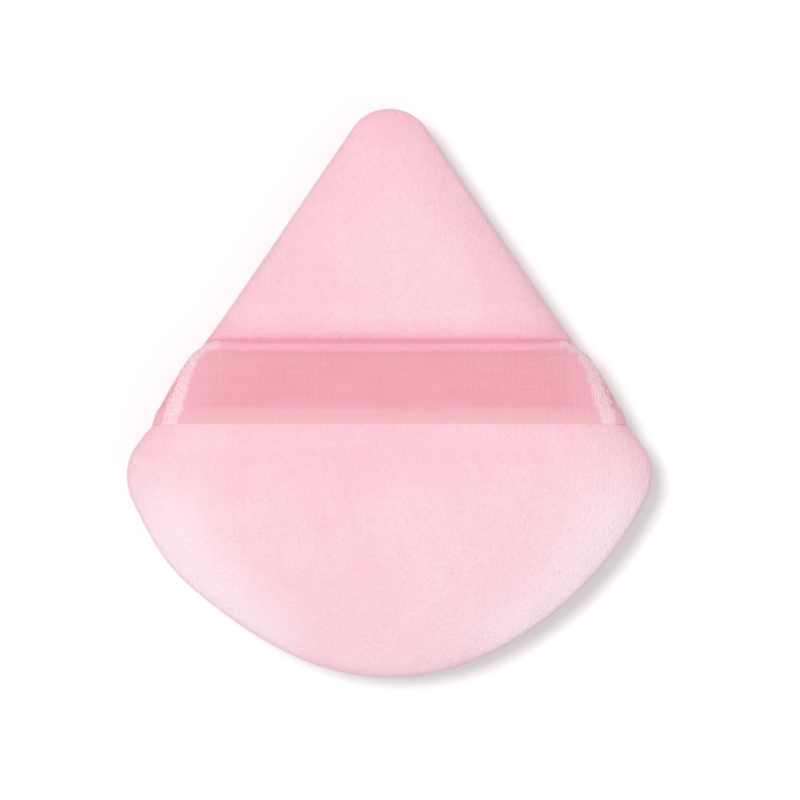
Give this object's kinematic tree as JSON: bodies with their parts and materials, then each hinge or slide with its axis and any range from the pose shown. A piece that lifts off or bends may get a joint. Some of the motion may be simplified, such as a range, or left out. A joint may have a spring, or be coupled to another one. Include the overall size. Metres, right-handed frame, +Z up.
{
  "type": "powder puff",
  "caption": "Rounded triangular velour make-up puff with a foam core, a sewn edge seam and a woven ribbon strap across the front that lifts for a fingertip.",
  "frame": {"origin": "on the table under the flat back panel, at the middle of the pad's width and length", "axes": "+Z up out of the strap face, +Y from the round end to the pointed tip, +X to the right along the strap"},
  "size_m": [0.0738, 0.08, 0.0142],
  "materials": {
    "velour": "matte",
    "ribbon": "satin",
    "thread": "satin",
    "foam": "matte"
  },
  "bodies": {
    "pad": {"front_panel": "velour", "back_panel": "velour", "foam_core": "foam", "seam_needle_thread": "thread", "seam_bobbin_thread": "thread", "closing_thread": "thread", "strap_end_left": "ribbon", "strap_end_right": "ribbon"},
    "strap": {"strap_span": "ribbon"}
  },
  "joints": [
    {"name": "strap_lift", "type": "slide", "parent": "pad", "child": "strap", "axis": [0, 0, 1], "range_m": [0, 0.008]}
  ]
}
